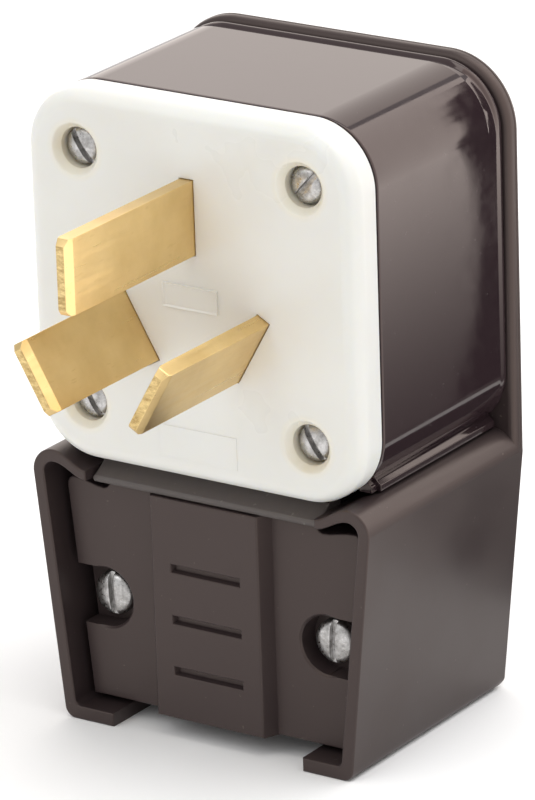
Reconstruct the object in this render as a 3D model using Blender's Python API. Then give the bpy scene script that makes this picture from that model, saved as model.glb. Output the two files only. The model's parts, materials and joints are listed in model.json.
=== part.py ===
"""A 50 A angle plug with three straight blades, as separate pieces.

Frame: X to the right seen from the front, Y into the plug from its white face, Z up.
Every piece hangs on one empty, plug_datum, which stands at the middle of the white
face's front.  Lengths along Y are depths behind that face.
"""

import math

import bmesh
import bpy
from mathutils import Matrix, Vector

MM = 0.001

# ---- driving dimensions -------------------------------------------------------------
FACE_SIZE = 64.0 * MM            # width and height of the white face and the box behind
FACE_CORNER = 11.0 * MM          # corner radius of that square
FACE_THICK = 6.7 * MM
FACE_EDGE = 2.6 * MM             # rounding of the face's front edge
FLOOR_DROP = 79.0 * MM           # from the middle of the face down to the floor
BACK_DEPTH = 47.4 * MM           # from the face to the flat back
BACK_WALL = 2.7 * MM
BOX_WALL = 2.6 * MM
GAP = 0.3 * MM                   # clearance between pieces that seat on each other
SLIDE_GAP = 0.5 * MM             # clearance beside pieces that slide

BLADE_WIDE = 12.7 * MM
BLADE_THICK = 2.6 * MM
HOT_OUT = 29.0 * MM              # how far the two lower blades stand out of the face
NEUTRAL_OUT = 35.0 * MM          # and the upper one
HOT_RADIUS = 12.6 * MM           # from the blade circle's centre to each lower blade
NEUTRAL_RADIUS = 14.3 * MM
BLADE_CENTRE = -0.6 * MM         # height of the blade circle's centre on the face
HOT_ANGLE = math.radians(30.0)   # lean of the lower blades from upright
BLADE_CORNER = 1.0 * MM
BLADE_NOSE = 0.7 * MM            # chamfer along the blade's end
BLADE_SHOULDER = 1.6 * MM        # step that the insulator traps
SHOULDER_LONG = 1.6 * MM

FACE_SCREW_IN = 10.2 * MM        # from the sides of the box to each long screw
FACE_SCREW_R = 1.75 * MM         # No. 6 thread
FACE_HEAD_R = 3.35 * MM
FACE_HEAD_HIGH = 2.0 * MM
FACE_HEAD_SUNK = 1.6 * MM        # top of the head below the face
FACE_WELL_FLARE = 1.85 * MM      # how much wider than the head the well's mouth is
FACE_TIP_GAP = 2.1 * MM          # from the screw's tip to the back's inside
SCREW_BLOCK_WALL = 1.6 * MM      # of the box's solid corners, round each long screw
INSERT_LONG = 5.0 * MM
INSERT_WALL = 0.85 * MM
POST_WALL = 1.1 * MM
POST_LONG = 6.4 * MM

CLAMP_SCREW_IN = 11.2 * MM       # from the rim's sides to each clamp screw
CLAMP_SCREW_LOW = 1.7 * MM       # below the middle of the clamp
CLAMP_SCREW_R = 2.08 * MM        # No. 8 thread
CLAMP_HEAD_R = 3.8 * MM
CLAMP_HEAD_HIGH = 2.4 * MM
CLAMP_TIP_GAP = 2.5 * MM         # from the tip to its hole's end with the clamp closed
CLAMP_TRAVEL = 9.0 * MM          # how far the clamp closes on the cord
NUT_SIZE = 8.8 * MM              # across the flats of the square nut
NUT_THICK = 3.2 * MM
NUT_COVER = 3.4 * MM             # of the boss, in front of the nut
NUT_SIDE = 0.4 * MM              # of the boss, between the nut and the cord

RIM_PROUD = 1.2 * MM             # how far the rear rim stands out beside the box
RIM_TOP = 0.5 * MM               # and above it
RIM_EDGE = 0.6 * MM
COLLAR_LONG = 6.9 * MM           # from the glossy box's end to the flat back
COLLAR_IN = 0.6 * MM             # step down from the box to its collar
BEAD_WIDE = 1.2 * MM
BEAD_BACK = 1.0 * MM             # from the bead to the collar's end
BEAD_IN = 0.1 * MM
SHOULDER_RISE = 0.8 * MM         # shoulders' top above the underside of the box
SHOULDER_R = 4.2 * MM
SKIRT_FOOT_IN = 4.4 * MM         # taper of each side wall over its height
SKIRT_WALL = 2.2 * MM
FOOT_CORNER = 2.0 * MM
FLOOR_THICK = 2.4 * MM
CORD_HALF = 18.9 * MM            # half width of the cord's way through the floor
CORD_CORNER = 8.0 * MM
CURL_LONG = 9.8 * MM             # from the rim's side to the end of each front curl
CURL_LOW = 2.9 * MM              # end of the curl below the underside of the box
CURL_GAP = 1.2 * MM              # slot between a curl and the neck
NECK_HIGH = 3.4 * MM             # how far the box's neck reaches down
NECK_FRONT = 1.6 * MM
NECK_EDGE = 1.0 * MM

CLAMP_FRONT = 3.9 * MM           # depth of the clamp's flat front
CLAMP_THICK = 6.0 * MM
CLAMP_TOP_GAP = 1.0 * MM         # under the neck
CLAMP_FOOT_GAP = 1.2 * MM        # above the floor
CLAMP_SIDE_GAP = 1.6 * MM
CLAMP_CORNER = 2.4 * MM
RIB_HALF = 10.5 * MM
RIB_OUT = 2.7 * MM
RIB_SLOPE = 1.8 * MM
SADDLE_HALF = 12.0 * MM
SADDLE_OUT = 2.3 * MM
SADDLE_EDGE = 1.2 * MM
POCKET_FLARE = 1.4 * MM          # how much wider than the screw's head its pocket is
POCKET_SEAT = 2.0 * MM           # thickness left under the head
GRIP_DOWN = 12.2 * MM            # from the clamp's top to its first slot
GRIP_PITCH = 9.1 * MM
GRIP_HALF = 7.1 * MM
GRIP_HIGH = 1.9 * MM
GRIP_DEEP = 1.2 * MM
GRIP_FOOT = 3.0 * MM             # least height left under the last slot

INSULATOR_THICK = 6.0 * MM
LUG_WALL = 1.5 * MM
LUG_HEAD_WALL = 2.4 * MM
LUG_LONG = 10.0 * MM
WIRE_SPACE = 4.4 * MM            # clear height for the wire's strands
PLATE_THICK = 1.6 * MM
GRUB_R = 2.4 * MM
GRUB_LONG = 5.3 * MM
GRUB_NOSE = 0.6 * MM
SLOT_WIDE = 1.1 * MM
SLOT_DEEP = 1.2 * MM
FACE_SLOT_TURNS = {"upper_left": -35, "upper_right": 42, "lower_left": -30, "lower_right": -32}
CLAMP_SLOT_TURNS = {"left": -4, "right": 2}
HEAD_SIDE = 0.45                 # share of a head's height that is straight
HEAD_DOME = ((0.72, 0.93), (0.93, 0.75))  # shares of its radius and height, down the dome
TIP_NOSE = 0.4                   # chamfer of a tip, as a share of the shank's radius

OVER = 1.0 * MM                  # how far a cutter reaches past what it cuts
BORE_SKIN = 0.5 * MM             # left between a blind hole and the back
TOUCH = 1e-6                     # two points this close are level
SHARP = math.radians(35)         # edges sharper than this stay sharp
ARC = 8                          # segments in a quarter of a rounded corner
SMALL_ARC = 4
ROUND = 24                       # sides of a small turned piece
CURL_STEPS = 6

# ---- derived places -----------------------------------------------------------------
HALF = FACE_SIZE / 2
FACE_Y = -(BACK_DEPTH - NEUTRAL_OUT) / 2
BOX_FRONT = FACE_THICK + GAP
BOX_DEPTH = BACK_DEPTH - COLLAR_LONG
BACK_INSIDE = BACK_DEPTH - BACK_WALL
BOX_END = BACK_INSIDE - GAP
RIM_HALF = HALF + RIM_PROUD
FLOOR_TOP = -FLOOR_DROP + FLOOR_THICK
SHOULDER_TOP = HALF - SHOULDER_RISE
CURL_END = RIM_HALF - CURL_LONG
CURL_DROP = HALF + CURL_LOW
NECK_DROP = HALF + NECK_HIGH
CLAMP_TOP = -NECK_DROP - CLAMP_TOP_GAP
CLAMP_FOOT = FLOOR_TOP + CLAMP_FOOT_GAP

FACE_SCREW_AT = HALF - FACE_SCREW_IN
FACE_SEAT = FACE_HEAD_SUNK + FACE_HEAD_HIGH
FACE_SCREW_LONG = BACK_INSIDE - FACE_TIP_GAP - FACE_SEAT
INSERT_R = FACE_SCREW_R + GAP + INSERT_WALL
POST_R = INSERT_R + GAP + POST_WALL
POST_START = BACK_INSIDE - POST_LONG
BLOCK_END = POST_START - GAP
SCREW_BLOCK = FACE_SCREW_R + GAP + SCREW_BLOCK_WALL
CORNER_CUT = 2 * FACE_SCREW_AT - SCREW_BLOCK * math.sqrt(2)

INSULATOR_END = BOX_FRONT + INSULATOR_THICK
LUG_FRONT = INSULATOR_END + SLIDE_GAP
LUG_END = LUG_FRONT + LUG_LONG
LUG_MIDDLE = (LUG_FRONT + LUG_END) / 2
GRUB_TIP = BLADE_THICK / 2 + WIRE_SPACE + PLATE_THICK + GAP
WINDOW_TOP = GRUB_TIP + GAP

CLAMP_BACK = CLAMP_FRONT + CLAMP_THICK
POCKET_FLOOR = CLAMP_BACK - POCKET_SEAT
POCKET_R = CLAMP_HEAD_R + POCKET_FLARE
CLAMP_SEAT = POCKET_FLOOR - GAP
CLAMP_SCREW_AT = RIM_HALF - CLAMP_SCREW_IN
CLAMP_SCREW_Z = (CLAMP_TOP + CLAMP_FOOT) / 2 - CLAMP_SCREW_LOW
CLAMP_BORE_END = BACK_INSIDE - BORE_SKIN
CLAMP_SCREW_LONG = CLAMP_BORE_END - CLAMP_TIP_GAP - CLAMP_TRAVEL - CLAMP_SEAT
BOSS_FRONT = CLAMP_BACK + CLAMP_TRAVEL + SLIDE_GAP
NUT_FRONT = BOSS_FRONT + NUT_COVER

HOT_X = HOT_RADIUS * math.cos(HOT_ANGLE)
HOT_Z = BLADE_CENTRE - HOT_RADIUS * math.sin(HOT_ANGLE)
NEUTRAL_Z = BLADE_CENTRE + NEUTRAL_RADIUS
# Each blade's x, z, lean, length outside the face, and the side that its wire clamps on.
BLADES = {
    "neutral": (0.0, NEUTRAL_Z, 0.0, NEUTRAL_OUT, -1),
    "hot_left": (-HOT_X, HOT_Z, -HOT_ANGLE, HOT_OUT, -1),
    "hot_right": (HOT_X, HOT_Z, HOT_ANGLE, HOT_OUT, 1),
}


# ---- materials ----------------------------------------------------------------------
def finish(name, colour, roughness, metallic=0.0):
    material = bpy.data.materials.new(name)
    material.use_nodes = True
    shader = material.node_tree.nodes["Principled BSDF"]
    shader.inputs["Base Color"].default_value = (*colour, 1.0)
    shader.inputs["Roughness"].default_value = roughness
    shader.inputs["Metallic"].default_value = metallic
    material.diffuse_color = (*colour, 1.0)
    return material


def all_finishes():
    return {
        "white": finish("white_nylon", (0.80, 0.79, 0.72), 0.35),
        "gloss": finish("glossy_black_shell", (0.035, 0.028, 0.027), 0.18),
        "matt": finish("matt_black_shell", (0.045, 0.038, 0.037), 0.45),
        "inner": finish("brown_insulator", (0.10, 0.05, 0.03), 0.6),
        "brass": finish("brass", (0.70, 0.50, 0.20), 0.3, 1.0),
        "zinc": finish("zinc_plated_steel", (0.60, 0.60, 0.58), 0.35, 1.0),
    }


# ---- shape helpers ------------------------------------------------------------------
def clear_scene():
    for obj in list(bpy.data.objects):
        bpy.data.objects.remove(obj, do_unlink=True)


def finished(shape):
    bmesh.ops.remove_doubles(shape, verts=shape.verts, dist=TOUCH)
    bmesh.ops.recalc_face_normals(shape, faces=shape.faces)
    return shape


def prism(outline, start, end):
    """Solid from an outline of (x, z) points, between two depths."""
    shape = bmesh.new()
    corners = [shape.verts.new((x, start, z)) for x, z in outline]
    front = shape.faces.new(corners)
    swept = bmesh.ops.extrude_face_region(shape, geom=[front])["geom"]
    moved = [item for item in swept if isinstance(item, bmesh.types.BMVert)]
    bmesh.ops.translate(shape, verts=moved, vec=(0, end - start, 0))
    return finished(shape)


def block(x, y, z):
    """Solid box from three (low, high) pairs."""
    return prism([(x[0], z[0]), (x[1], z[0]), (x[1], z[1]), (x[0], z[1])], *y)


def arc(cx, cz, radius, start, end, steps=ARC):
    """Points of an arc, from one angle in degrees to another."""
    turns = [math.radians(start + (end - start) * i / steps) for i in range(steps + 1)]
    return [(cx + radius * math.cos(turn), cz + radius * math.sin(turn)) for turn in turns]


def rounded(half_x, low_z, high_z, radius):
    """Rectangle with round corners, symmetric about the middle."""
    inner = half_x - radius
    return (
        arc(inner, low_z + radius, radius, -90, 0)
        + arc(inner, high_z - radius, radius, 0, 90)
        + arc(-inner, high_z - radius, radius, 90, 180)
        + arc(-inner, low_z + radius, radius, 180, 270)
    )


def clipped_square(half, sum_limit):
    """Square whose corners are cut off where |x| + |z| would pass a limit."""
    short = sum_limit - half
    return [(half, -short), (half, short), (short, half), (-short, half),
            (-half, short), (-half, -short), (-short, -half), (short, -half)]


def turned(profile, closed=False, sides=ROUND):
    """Solid of revolution about the Y axis from (radius, y) points."""
    shape = bmesh.new()
    points = [shape.verts.new((radius, y, 0)) for radius, y in profile]
    edges = [shape.edges.new(pair) for pair in zip(points, points[1:])]
    if closed:
        edges.append(shape.edges.new((points[-1], points[0])))
    bmesh.ops.spin(shape, geom=points + edges, axis=(0, 1, 0), cent=(0, 0, 0),
                   angle=math.tau, steps=sides, use_merge=True)
    return finished(shape)


def rod(radius, start, end, at=(0.0, 0.0), sides=ROUND):
    """Round bar along Y, its axis at (x, z)."""
    shape = turned([(0, start), (radius, start), (radius, end), (0, end)], sides=sides)
    bmesh.ops.translate(shape, verts=shape.verts, vec=(at[0], 0, at[1]))
    return shape


def bevel_where(shape, test, width, segments=1):
    """Bevel the edges both of whose ends pass a test."""
    edges = [edge for edge in shape.edges if all(test(vert.co) for vert in edge.verts)]
    bmesh.ops.bevel(shape, geom=edges, offset=width, segments=segments, affect="EDGES",
                    profile=0.5, material=-1)
    return finished(shape)


def add(name, shape, material, origin=(0, 0, 0)):
    """Object from a shape in the datum's frame, with its own origin."""
    bmesh.ops.translate(shape, verts=shape.verts, vec=-Vector(origin))
    mesh = bpy.data.meshes.new(name)
    shape.to_mesh(mesh)
    shape.free()
    mesh.shade_smooth()
    mesh.set_sharp_from_angle(angle=SHARP)
    obj = bpy.data.objects.new(name, mesh)
    bpy.context.scene.collection.objects.link(obj)
    obj.location = origin
    if material:
        mesh.materials.append(material)
    obj.parent = bpy.data.objects["plug_datum"]
    return obj


def combine(obj, shape, operation="DIFFERENCE"):
    """Cut a helper solid from an object, or join it on."""
    helper = add(f"{obj.name}_helper", shape, None)
    helper.hide_render = True
    helper.display_type = "WIRE"
    modifier = obj.modifiers.new(operation.title(), "BOOLEAN")
    modifier.operation = operation
    modifier.solver = "EXACT"
    modifier.object = helper


def turned_to_blade(shape, blade):
    """Carry a shape drawn on an upright blade at the middle to its real place."""
    x, z, lean, _, _ = BLADES[blade]
    bmesh.ops.rotate(shape, verts=shape.verts, cent=(0, 0, 0),
                     matrix=Matrix.Rotation(lean, 3, "Y"))
    bmesh.ops.translate(shape, verts=shape.verts, vec=(x, 0, z))
    return shape


def blade_point(blade, out, depth):
    """Point at a distance square to a blade's flat, at a depth."""
    x, z, lean, _, side = BLADES[blade]
    return (x + side * out * math.cos(lean), depth, z - side * out * math.sin(lean))


def corners(distance):
    return [(f"{level}_{side}", sx * distance, sz * distance)
            for level, sz in (("upper", 1), ("lower", -1))
            for side, sx in (("left", -1), ("right", 1))]


# ---- face and blades ----------------------------------------------------------------
def face_screw_well():
    """Cone, seat and clearance hole, as one cutter about its own axis."""
    seat = FACE_SEAT + GAP
    mouth = FACE_HEAD_R + FACE_WELL_FLARE
    bore = FACE_HEAD_R + GAP
    hole = FACE_SCREW_R + GAP
    end = FACE_THICK + OVER
    return turned([(0, -OVER), (mouth, -OVER), (mouth, 0), (bore, FACE_HEAD_SUNK),
                   (bore, seat), (hole, seat), (hole, end), (0, end)])


def blade_slot(start, end, extra_width=0.0):
    half = BLADE_WIDE / 2 + GAP + extra_width
    flat = BLADE_THICK / 2 + GAP
    return block((-flat, flat), (start, end), (-half, half))


def face_plate(material):
    shape = prism(rounded(HALF, -HALF, HALF, FACE_CORNER), 0, FACE_THICK)
    bevel_where(shape, lambda point: point.y < TOUCH, FACE_EDGE, SMALL_ARC)
    plate = add("face_plate", shape, material)
    for blade in BLADES:
        combine(plate, turned_to_blade(blade_slot(-OVER, FACE_THICK + OVER), blade))
    for _, x, z in corners(FACE_SCREW_AT):
        well = face_screw_well()
        bmesh.ops.translate(well, verts=well.verts, vec=(x, 0, z))
        combine(plate, well)


def blade_shape(blade):
    """Flat bar with clipped corners, a shoulder behind the face and a chamfered end."""
    out = BLADES[blade][3]
    half, step = BLADE_WIDE / 2, BLADE_WIDE / 2 + BLADE_SHOULDER
    trap = BOX_FRONT + GAP
    side = [(half - BLADE_CORNER, -out), (half, -out + BLADE_CORNER), (half, trap), (step, trap),
            (step, trap + SHOULDER_LONG), (half, trap + SHOULDER_LONG), (half, LUG_END)]
    outline = side + [(-width, depth) for width, depth in reversed(side)]
    shape = bmesh.new()
    flat = BLADE_THICK / 2
    face = shape.faces.new([shape.verts.new((-flat, depth, width)) for width, depth in outline])
    swept = bmesh.ops.extrude_face_region(shape, geom=[face])["geom"]
    moved = [item for item in swept if isinstance(item, bmesh.types.BMVert)]
    bmesh.ops.translate(shape, verts=moved, vec=(BLADE_THICK, 0, 0))
    finished(shape)
    ends = [edge for edge in shape.edges
            if all(vert.co.y < -out + TOUCH for vert in edge.verts)
            and abs(edge.verts[0].co.x - edge.verts[1].co.x) < TOUCH]
    bmesh.ops.bevel(shape, geom=ends, offset=BLADE_NOSE, segments=1, affect="EDGES",
                    profile=0.5, material=-1)
    return finished(shape)


def insulator(material):
    """Plate behind the face that traps the blades' shoulders."""
    inner = HALF - BOX_WALL - SLIDE_GAP
    limit = CORNER_CUT - 2 * SLIDE_GAP
    outline = clipped_square(inner, limit)
    plate = add("blade_insulator", prism(outline, BOX_FRONT, INSULATOR_END), material)
    shoulder_room = BOX_FRONT + 2 * GAP + SHOULDER_LONG
    for blade in BLADES:
        combine(plate, turned_to_blade(blade_slot(0, INSULATOR_END + OVER), blade))
        combine(plate, turned_to_blade(blade_slot(0, shoulder_room, BLADE_SHOULDER), blade))


# ---- terminals ----------------------------------------------------------------------
def terminal_lug(blade, material):
    """Box round the blade's tail, with a thick wall for the grub screw's thread."""
    side = BLADES[blade][4]
    window = BLADE_WIDE / 2 + GAP
    half = window + LUG_WALL
    low = -(BLADE_THICK / 2 + GAP + LUG_WALL)
    high = WINDOW_TOP + LUG_HEAD_WALL
    span = sorted((side * low, side * high))
    room = sorted((side * (low + LUG_WALL), side * WINDOW_TOP))
    lug = add(f"{blade}_lug", turned_to_blade(
        block(span, (LUG_FRONT, LUG_END), (-half, half)), blade), material)
    combine(lug, turned_to_blade(
        block(room, (LUG_FRONT - OVER, LUG_END + OVER), (-window, window)), blade))
    hole = rod(GRUB_R + GAP, WINDOW_TOP - OVER, high + OVER)
    combine(lug, laid_on_blade(hole, blade))


def laid_on_blade(shape, blade):
    """Turn a round shape drawn along Y so that its axis stands square to the blade."""
    side = BLADES[blade][4]
    bmesh.ops.rotate(shape, verts=shape.verts, cent=(0, 0, 0),
                     matrix=Matrix.Rotation(-side * math.pi / 2, 3, "Z"))
    bmesh.ops.translate(shape, verts=shape.verts, vec=(0, LUG_MIDDLE, 0))
    return turned_to_blade(shape, blade)


def pressure_plate(blade, material):
    side = BLADES[blade][4]
    half = BLADE_WIDE / 2 - GAP
    low = BLADE_THICK / 2 + WIRE_SPACE
    span = sorted((side * low, side * (low + PLATE_THICK)))
    shape = block(span, (LUG_FRONT + GAP, LUG_END - GAP), (-half, half))
    add(f"{blade}_pressure_plate", turned_to_blade(shape, blade), material,
        blade_point(blade, low, LUG_MIDDLE))


def grub_screw(blade, material):
    end = GRUB_TIP + GRUB_LONG
    edge = GRUB_NOSE / 2
    shape = turned([(0, GRUB_TIP), (GRUB_R - GRUB_NOSE, GRUB_TIP), (GRUB_R, GRUB_TIP + GRUB_NOSE),
                    (GRUB_R, end - edge), (GRUB_R - edge, end), (0, end)])
    screw = add(f"{blade}_terminal_screw", laid_on_blade(shape, blade), material,
                blade_point(blade, GRUB_TIP, LUG_MIDDLE))
    slot = block((-SLOT_WIDE / 2, SLOT_WIDE / 2), (end - SLOT_DEEP, end + OVER),
                 (-GRUB_R - OVER, GRUB_R + OVER))
    combine(screw, laid_on_blade(slot, blade))


# ---- shells -------------------------------------------------------------------------
def upper_box(material):
    """Glossy box behind the face, with solid corners for the long screws."""
    inside = HALF - BOX_WALL
    neck_half = CURL_END - CURL_GAP
    way_half = neck_half - BOX_WALL
    box = add("upper_box", prism(rounded(HALF, -HALF, HALF, FACE_CORNER), BOX_FRONT, BOX_DEPTH), material)

    collar = HALF - COLLAR_IN
    combine(box, prism(rounded(collar, -collar, collar, FACE_CORNER), BOX_DEPTH - OVER, BOX_END), "UNION")
    bead = HALF - BEAD_IN
    bead_end = BOX_END - BEAD_BACK
    combine(box, prism(rounded(bead, -bead, bead, FACE_CORNER), bead_end - BEAD_WIDE, bead_end), "UNION")
    combine(box, block((-neck_half, neck_half), (BOX_FRONT, BOX_END), (-NECK_DROP, -HALF + OVER)), "UNION")
    bar = block((-neck_half, neck_half), (NECK_FRONT, BOX_FRONT + OVER), (-NECK_DROP, -HALF - GAP))
    bevel_where(bar, lambda p: p.y < NECK_FRONT + TOUCH and p.z < -NECK_DROP + TOUCH, NECK_EDGE, SMALL_ARC)
    combine(box, bar, "UNION")

    combine(box, prism(clipped_square(inside, CORNER_CUT), BOX_FRONT - OVER, BLOCK_END))
    combine(box, prism(rounded(inside, -inside, inside, FACE_CORNER - BOX_WALL), BLOCK_END - OVER,
                       BOX_END + OVER))
    combine(box, block((-way_half, way_half), (BOX_FRONT + BOX_WALL, BOX_END + OVER),
                       (-NECK_DROP - OVER, -inside + OVER)))
    for _, x, z in corners(FACE_SCREW_AT):
        combine(box, rod(FACE_SCREW_R + GAP, BOX_FRONT - OVER, BLOCK_END + OVER, (x, z)))


def shoulder_curve(inset):
    """Right shoulder from the side wall up, over and down to the curl's end."""
    radius = SHOULDER_R - inset
    side = RIM_HALF - inset
    top = -SHOULDER_TOP - inset
    crest = side - radius
    fall = CURL_DROP - SHOULDER_TOP
    run = crest - CURL_END
    curve = arc(crest, top - radius, radius, 0, 90)
    for i in range(1, CURL_STEPS + 1):
        share = i / CURL_STEPS
        curve.append((crest - run * share, top - fall * (1 - math.cos(math.pi * share)) / 2))
    return curve


def mirrored(right_side):
    """Closed outline from its right half, given from the foot up to the middle."""
    return right_side + [(-x, z) for x, z in reversed(right_side)]


def rear_shell(material):
    """Matt shell: the back with its rim, the two side walls and the floor."""
    foot = RIM_HALF - SKIRT_FOOT_IN
    right = arc(foot - FOOT_CORNER, -FLOOR_DROP + FOOT_CORNER, FOOT_CORNER, -90, 0, SMALL_ARC)
    right += shoulder_curve(0)
    under_curl = -CURL_DROP - SKIRT_WALL
    right.append((CURL_END, under_curl))
    shell = add("rear_shell", prism(mirrored(right), 0, BACK_DEPTH), material)

    bend = FACE_CORNER + RIM_PROUD
    rim_right = [(RIM_HALF, -SHOULDER_TOP - SHOULDER_R)]
    rim_right += arc(RIM_HALF - bend, HALF + RIM_TOP - bend, bend, 0, 90)
    rim = prism(mirrored(rim_right), BACK_INSIDE, BACK_DEPTH)
    bevel_where(rim, lambda p: p.y < BACK_INSIDE + TOUCH or p.y > BACK_DEPTH - TOUCH, RIM_EDGE, 2)
    combine(shell, rim, "UNION")

    mouth = CURL_END - 2 * SKIRT_WALL
    room = [(foot - SKIRT_WALL, FLOOR_TOP)] + shoulder_curve(SKIRT_WALL)
    room += [(mouth, under_curl), (mouth, -SHOULDER_TOP + OVER)]
    combine(shell, prism(mirrored(room), -OVER, BACK_INSIDE))
    combine(shell, block((-CURL_END, CURL_END), (-OVER, BACK_INSIDE), (under_curl, 0)))
    combine(shell, cord_way())

    for side in (-1, 1):
        nut_boss(shell, side)
    for _, x, z in corners(FACE_SCREW_AT):
        combine(shell, rod(POST_R, POST_START, BACK_INSIDE + OVER, (x, z)), "UNION")
        combine(shell, rod(INSERT_R + GAP, POST_START - OVER, BACK_INSIDE - BORE_SKIN, (x, z)))


def cord_way():
    """Cutter for the cord's way through the floor, open to the front, its far corners round."""
    right = [(CORD_HALF, -OVER)]
    right += arc(CORD_HALF - CORD_CORNER, BACK_INSIDE - CORD_CORNER, CORD_CORNER, 0, 90, SMALL_ARC)
    cutter = prism([(x, -y) for x, y in mirrored(right)], 0, FLOOR_THICK + 2 * OVER)
    bmesh.ops.rotate(cutter, verts=cutter.verts, cent=(0, 0, 0),
                     matrix=Matrix.Rotation(math.pi / 2, 3, "X"))
    bmesh.ops.translate(cutter, verts=cutter.verts, vec=(0, 0, -FLOOR_DROP - OVER))
    return cutter


def nut_boss(shell, side):
    """Boss on a side wall that holds one square nut, slid in from the cord's side."""
    x, z = side * CLAMP_SCREW_AT, CLAMP_SCREW_Z
    flat = NUT_SIZE / 2 + GAP
    tall = NUT_SIZE / 2 + SKIRT_WALL
    into_wall = side * (RIM_HALF - SKIRT_FOOT_IN / 2 - SKIRT_WALL / 2)
    boss_x = sorted((x - side * (NUT_SIZE / 2 + NUT_SIDE), into_wall))
    combine(shell, block(boss_x, (BOSS_FRONT, BACK_INSIDE + OVER), (z - tall, z + tall)), "UNION")
    pocket_x = sorted((x - side * NUT_SIZE, x + side * flat))
    pocket_y = (NUT_FRONT - GAP, NUT_FRONT + NUT_THICK + GAP)
    combine(shell, block(pocket_x, pocket_y, (z - flat, z + flat)))
    combine(shell, rod(CLAMP_SCREW_R + SLIDE_GAP, BOSS_FRONT - OVER, CLAMP_BORE_END, (x, z)))


# ---- cord clamp ---------------------------------------------------------------------
def clamp_half_width(height):
    """Half width of the clamp at a height, beside the tapering walls."""
    share = (-SHOULDER_TOP - SHOULDER_R - height) / (FLOOR_DROP - SHOULDER_TOP - SHOULDER_R)
    return RIM_HALF - SKIRT_FOOT_IN * share - SKIRT_WALL - CLAMP_SIDE_GAP


def clamp_plate(material):
    """Plate with a broad rib in front, a saddle behind and a pocket for each screw."""
    under_curl = -CURL_DROP - SKIRT_WALL - SLIDE_GAP
    wide_top = clamp_half_width(under_curl - CLAMP_CORNER)
    wide_foot = clamp_half_width(CLAMP_FOOT)
    step = CURL_END - CURL_GAP
    right = [(wide_foot, CLAMP_FOOT), (wide_top, under_curl - CLAMP_CORNER),
             (wide_top - CLAMP_CORNER, under_curl), (step, under_curl), (step, CLAMP_TOP)]
    plate = add("clamp_plate", prism(mirrored(right), CLAMP_FRONT, CLAMP_BACK), material,
                (0, CLAMP_FRONT, CLAMP_SCREW_Z))

    rib_front = CLAMP_FRONT - RIB_OUT
    rib_foot = RIB_HALF + RIB_SLOPE
    rib = block((-rib_foot, rib_foot), (rib_front, CLAMP_FRONT + OVER), (CLAMP_FOOT, CLAMP_TOP))
    for vert in rib.verts:
        if vert.co.y < CLAMP_FRONT:
            vert.co.x = math.copysign(RIB_HALF, vert.co.x)
    combine(plate, rib, "UNION")
    saddle_end = CLAMP_BACK + SADDLE_OUT
    saddle = block((-SADDLE_HALF, SADDLE_HALF), (CLAMP_BACK - OVER, saddle_end), (CLAMP_FOOT, CLAMP_TOP))
    bevel_where(saddle, lambda p: p.y > saddle_end - TOUCH, SADDLE_EDGE)
    combine(plate, saddle, "UNION")

    first = CLAMP_TOP - GRIP_DOWN
    slots = 1 + int((first - CLAMP_FOOT - GRIP_FOOT) / GRIP_PITCH)
    for i in range(slots):
        middle = first - i * GRIP_PITCH
        combine(plate, block((-GRIP_HALF, GRIP_HALF), (rib_front - OVER, rib_front + GRIP_DEEP),
                             (middle - GRIP_HIGH / 2, middle + GRIP_HIGH / 2)))
    z = CLAMP_SCREW_Z
    for side in (-1, 1):
        x = side * CLAMP_SCREW_AT
        wall = sorted((x, side * RIM_HALF))
        combine(plate, rod(POCKET_R, CLAMP_FRONT - OVER, POCKET_FLOOR, (x, z)))
        combine(plate, block(wall, (CLAMP_FRONT - OVER, POCKET_FLOOR), (z - POCKET_R, z + POCKET_R)))
        combine(plate, rod(CLAMP_SCREW_R + GAP, CLAMP_FRONT, CLAMP_BACK + OVER, (x, z)))


# ---- fasteners ----------------------------------------------------------------------
def slotted_screw(name, at, head, shank, slot_turn, material):
    """Pan head with a slot, and a plain shank where the thread runs.

    The head is (seat's depth, radius, height) and the shank is (radius, length).
    """
    x, z = at
    seat, head_r, head_high = head
    shank_r, shank_long = shank
    tip = seat + shank_long
    nose = shank_r * TIP_NOSE
    top = seat - head_high
    profile = [(0, top)]
    profile += [(head_r * across, seat - head_high * up) for across, up in HEAD_DOME]
    profile += [(head_r, seat - head_high * HEAD_SIDE), (head_r, seat), (shank_r, seat),
                (shank_r, tip - nose), (shank_r - nose, tip), (0, tip)]
    shape = turned(profile)
    bmesh.ops.translate(shape, verts=shape.verts, vec=(x, 0, z))
    screw = add(name, shape, material, (x, seat, z))
    slot = block((-SLOT_WIDE / 2, SLOT_WIDE / 2), (top - OVER, top + SLOT_DEEP),
                 (-head_r - OVER, head_r + OVER))
    bmesh.ops.rotate(slot, verts=slot.verts, cent=(0, 0, 0),
                     matrix=Matrix.Rotation(math.radians(slot_turn), 3, "Y"))
    bmesh.ops.translate(slot, verts=slot.verts, vec=(x, 0, z))
    combine(screw, slot)


def face_screws(screw_metal, insert_metal):
    head = (FACE_SEAT, FACE_HEAD_R, FACE_HEAD_HIGH)
    shank = (FACE_SCREW_R, FACE_SCREW_LONG)
    bore = FACE_SCREW_R + GAP
    end = POST_START + INSERT_LONG
    for place, x, z in corners(FACE_SCREW_AT):
        slotted_screw(f"face_screw_{place}", (x, z), head, shank, FACE_SLOT_TURNS[place], screw_metal)
        outline = [(bore, POST_START), (INSERT_R, POST_START), (INSERT_R, end), (bore, end)]
        ring = turned(outline, closed=True)
        bmesh.ops.translate(ring, verts=ring.verts, vec=(x, 0, z))
        add(f"threaded_insert_{place}", ring, insert_metal)


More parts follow.
